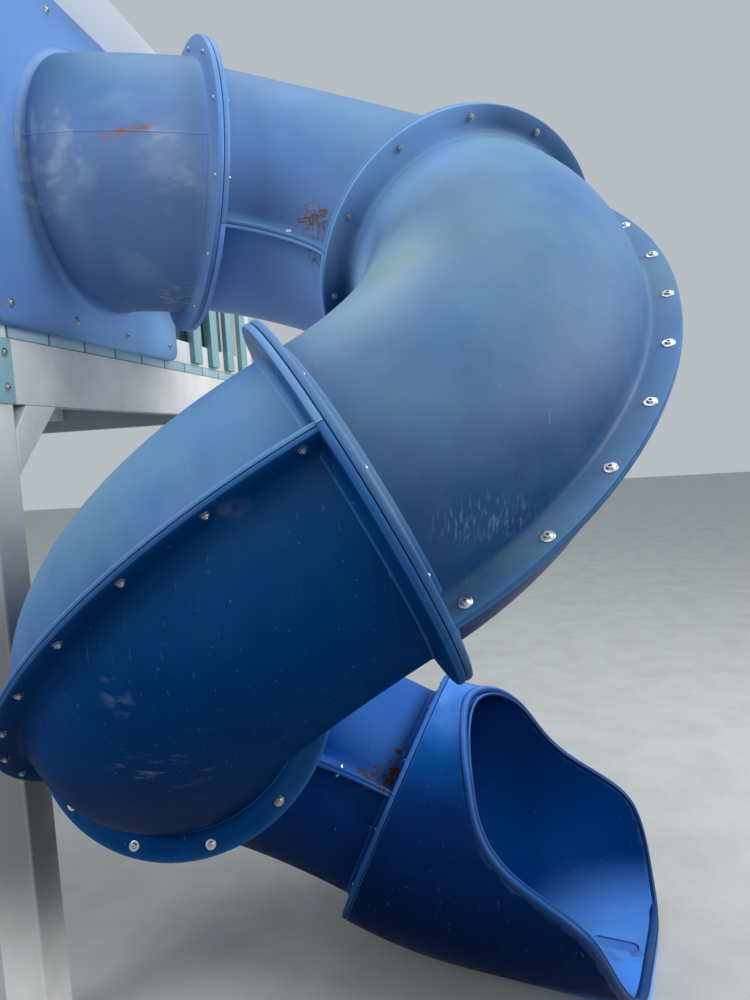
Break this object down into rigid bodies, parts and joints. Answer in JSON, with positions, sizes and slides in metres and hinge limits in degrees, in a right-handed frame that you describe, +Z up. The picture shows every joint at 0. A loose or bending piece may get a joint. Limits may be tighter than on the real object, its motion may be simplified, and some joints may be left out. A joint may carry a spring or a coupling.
{
  "type": "playground spiral tube slide on a play tower",
  "caption": "Spiral tube slide of flanged half-shell elbows, with an entry panel and an open scoop exit, bolted to a square play tower with a railed deck.",
  "frame": {"origin": "centre of the whole object's footprint, on the ground", "axes": "+X runs from the tower out towards the slide, square to the wall that carries it, +Z is up"},
  "size_m": [4.2792, 2.7326, 3.122],
  "materials": {
    "slide_plastic": "faded blue moulded polyethylene",
    "cream_vinyl": "cream vinyl sleeve",
    "green_plastic": "dark green plastic"
  },
  "bodies": {
    "root": {"brace_back_far": "cream_vinyl", "brace_back_near": "cream_vinyl", "brace_front_far": "cream_vinyl", "brace_front_near": "cream_vinyl", "bracket_back_far": "green_plastic", "bracket_back_near": "green_plastic", "bracket_front_far": "green_plastic", "bracket_front_near": "green_plastic", "deck": "green_plastic", "elbow_1_lower": "slide_plastic", "elbow_1_upper": "slide_plastic", "elbow_2_lower": "slide_plastic", "elbow_2_upper": "slide_plastic", "elbow_3_lower": "slide_plastic", "elbow_3_upper": "slide_plastic", "elbow_4_lower": "slide_plastic", "elbow_4_upper": "slide_plastic", "entry_hood": "slide_plastic", "exit_chute": "slide_plastic", "inner_boards": "green_plastic", "joist_1": "cream_vinyl", "joist_2": "cream_vinyl", "joist_3": "cream_vinyl", "ladder": "cream_vinyl", "low_rail_far": "cream_vinyl", "low_rail_front": "cream_vinyl", "low_rail_near": "cream_vinyl", "post_back_far": "cream_vinyl", "post_back_near": "cream_vinyl", "post_front_far": "cream_vinyl", "post_front_near": "cream_vinyl", "railing_far": "green_plastic", "railing_front": "green_plastic", "railing_near": "green_plastic", "rim_beam_back": "cream_vinyl", "rim_beam_far": "cream_vinyl", "rim_beam_front": "cream_vinyl", "rim_beam_near": "cream_vinyl", "top_rail_far": "cream_vinyl", "top_rail_front": "cream_vinyl", "top_rail_near": "cream_vinyl"}
  },
  "joints": []
}
